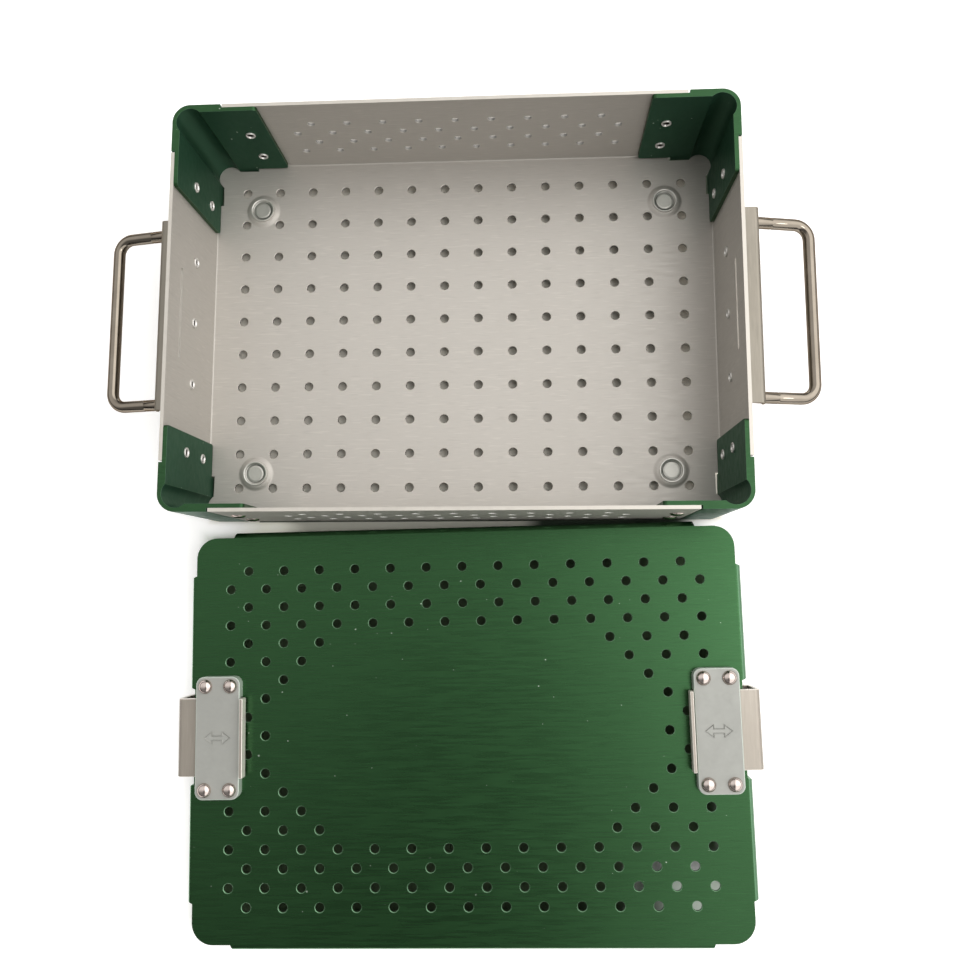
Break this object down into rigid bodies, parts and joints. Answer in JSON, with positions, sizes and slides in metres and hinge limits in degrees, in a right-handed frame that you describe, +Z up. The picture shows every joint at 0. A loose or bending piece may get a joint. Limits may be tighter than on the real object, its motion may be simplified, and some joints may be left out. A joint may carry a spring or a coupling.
{
  "type": "perforated box",
  "caption": "Open metal instrument box with perforated floor, walls and separate lid, riveted corner posts, hinged wire handles and sliding lid latches.",
  "frame": {"origin": "on the surface that the tray and the lid lie on, midway between their far ends", "axes": "+X to the right along the tray's long side, +Y from the lid to the tray, +Z up"},
  "size_m": [0.3122, 0.3608, 0.0597],
  "materials": {
    "aluminium": "brushed, clear anodised",
    "green_anodised": "green anodised, satin",
    "steel": "polished stainless steel",
    "rivet": "bright",
    "plate": "satin, rounded edges"
  },
  "bodies": {
    "tray": {"tray_body": "aluminium", "corner_post_front_left": "green_anodised", "corner_post_front_right": "green_anodised", "corner_post_back_right": "green_anodised", "corner_post_back_left": "green_anodised", "post_rivet_front_left_1": "rivet", "post_rivet_front_left_2": "rivet", "post_rivet_front_left_3": "rivet", "post_rivet_front_left_4": "rivet", "post_rivet_front_right_1": "rivet", "post_rivet_front_right_2": "rivet", "post_rivet_front_right_3": "rivet", "post_rivet_front_right_4": "rivet", "post_rivet_back_right_1": "rivet", "post_rivet_back_right_2": "rivet", "post_rivet_back_right_3": "rivet", "post_rivet_back_right_4": "rivet", "post_rivet_back_left_1": "rivet", "post_rivet_back_left_2": "rivet", "post_rivet_back_left_3": "rivet", "post_rivet_back_left_4": "rivet", "foot_front_left": "aluminium", "foot_front_right": "aluminium", "foot_back_right": "aluminium", "foot_back_left": "aluminium", "handle_bracket_left": "steel", "handle_bracket_right": "steel", "bracket_rivet_left_1": "rivet", "bracket_rivet_left_2": "rivet", "bracket_rivet_left_3": "rivet", "bracket_rivet_right_1": "rivet", "bracket_rivet_right_2": "rivet", "bracket_rivet_right_3": "rivet"},
    "handle_left": {"handle_left": "steel"},
    "handle_right": {"handle_right": "steel"},
    "lid": {"lid_panel": "green_anodised", "bridge_plate_left": "plate", "bridge_plate_right": "plate", "bridge_spacer_left_1": "plate", "bridge_spacer_left_2": "plate", "bridge_spacer_right_1": "plate", "bridge_spacer_right_2": "plate", "bridge_rivet_left_1": "rivet", "bridge_rivet_left_2": "rivet", "bridge_rivet_left_3": "rivet", "bridge_rivet_left_4": "rivet", "bridge_rivet_right_1": "rivet", "bridge_rivet_right_2": "rivet", "bridge_rivet_right_3": "rivet", "bridge_rivet_right_4": "rivet"},
    "latch_left": {"latch_slider_left": "steel"},
    "latch_right": {"latch_slider_right": "steel"}
  },
  "joints": [
    {"name": "handle_left_hinge", "type": "hinge", "parent": "tray", "child": "handle_left", "pos_m": [-0.124, 0.09185, 0.038], "axis": [0, -1, 0], "range_deg": [-12, 78]},
    {"name": "handle_right_hinge", "type": "hinge", "parent": "tray", "child": "handle_right", "pos_m": [0.124, 0.09185, 0.038], "axis": [0, 1, 0], "range_deg": [-12, 78]},
    {"name": "lid_lift", "type": "slide", "parent": "tray", "child": "lid", "axis": [0, 0, 1], "range_m": [0, 0.15]},
    {"name": "latch_left_slide", "type": "slide", "parent": "lid", "child": "latch_left", "axis": [0.9998, 0.0218, 0], "range_m": [0, 0.0048]},
    {"name": "latch_right_slide", "type": "slide", "parent": "lid", "child": "latch_right", "axis": [-0.9998, -0.0218, 0], "range_m": [0, 0.0048]}
  ]
}
